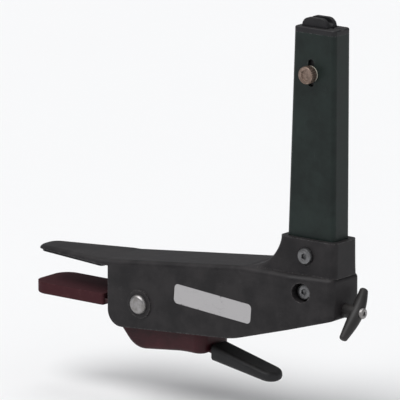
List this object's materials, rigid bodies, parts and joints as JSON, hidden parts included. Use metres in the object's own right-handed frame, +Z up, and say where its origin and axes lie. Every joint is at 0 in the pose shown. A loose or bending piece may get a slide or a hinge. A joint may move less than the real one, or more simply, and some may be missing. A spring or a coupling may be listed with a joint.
{
  "type": "table tennis net clamp",
  "caption": "Spring clip clamp for a table's edge with an upright post, height slider and cord cleat that holds one end of a table tennis net.",
  "frame": {"origin": "centre of the upper pad's underside, where the clamp rests on the table top", "axes": "+X away from the table along the arm, +Y along the table's edge, +Z up along the post"},
  "size_m": [0.2262, 0.042, 0.2093],
  "materials": {
    "arm_paint": "fine textured black powder coat",
    "post_paint": "satin dark grey-green paint",
    "lever_paint": "semi-gloss dark maroon paint",
    "grip_plastic": "fine spark-eroded grain",
    "pad_rubber": "matt",
    "boot_rubber": "matt",
    "cap_plastic": "fine grain",
    "cleat_plastic": "satin",
    "black_steel": "black zinc",
    "zinc_steel": "bright zinc",
    "spring_steel": "oiled dark wire",
    "brass": "turned",
    "nylon": "natural",
    "screw_head": "dull brownish plating"
  },
  "bodies": {
    "arm": {"arm_casting": "arm_paint", "upper_jaw_pad": "pad_rubber", "edge_buffer": "pad_rubber", "post_tube": "post_paint", "post_bolts": "black_steel", "post_nuts": "zinc_steel", "post_spacers": "zinc_steel", "top_cap": "cap_plastic", "cord_cleat": "cleat_plastic", "cleat_screw": "zinc_steel", "pivot_pin": "zinc_steel", "pivot_washer": "zinc_steel", "pivot_clip": "zinc_steel", "spring_sleeve": "nylon", "torsion_spring": "spring_steel"},
    "lever": {"lever_channel": "lever_paint", "lower_jaw_boot": "boot_rubber", "lever_bushes": "nylon", "handle_grip": "grip_plastic"},
    "slider": {"height_slider": "cap_plastic", "slider_insert": "brass"},
    "lock": {"lock_screw": "screw_head", "lock_washer": "nylon"}
  },
  "joints": [
    {"name": "lever_pivot", "type": "hinge", "parent": "arm", "child": "lever", "pos_m": [0.055, 0, -0.017], "axis": [0, -1, 0], "range_deg": [-11, 16.5], "stiffness_Nm_per_rad": 2.3, "deforming": ["torsion_spring"]},
    {"name": "height_slide", "type": "slide", "parent": "arm", "child": "slider", "axis": [0, 0, 1], "range_m": [-0.005, 0.005]},
    {"name": "lock_screw_turn", "type": "hinge", "parent": "slider", "child": "lock", "pos_m": [0.16665, 0, 0.127], "axis": [0, -1, 0], "range_deg": [0, 360]}
  ]
}
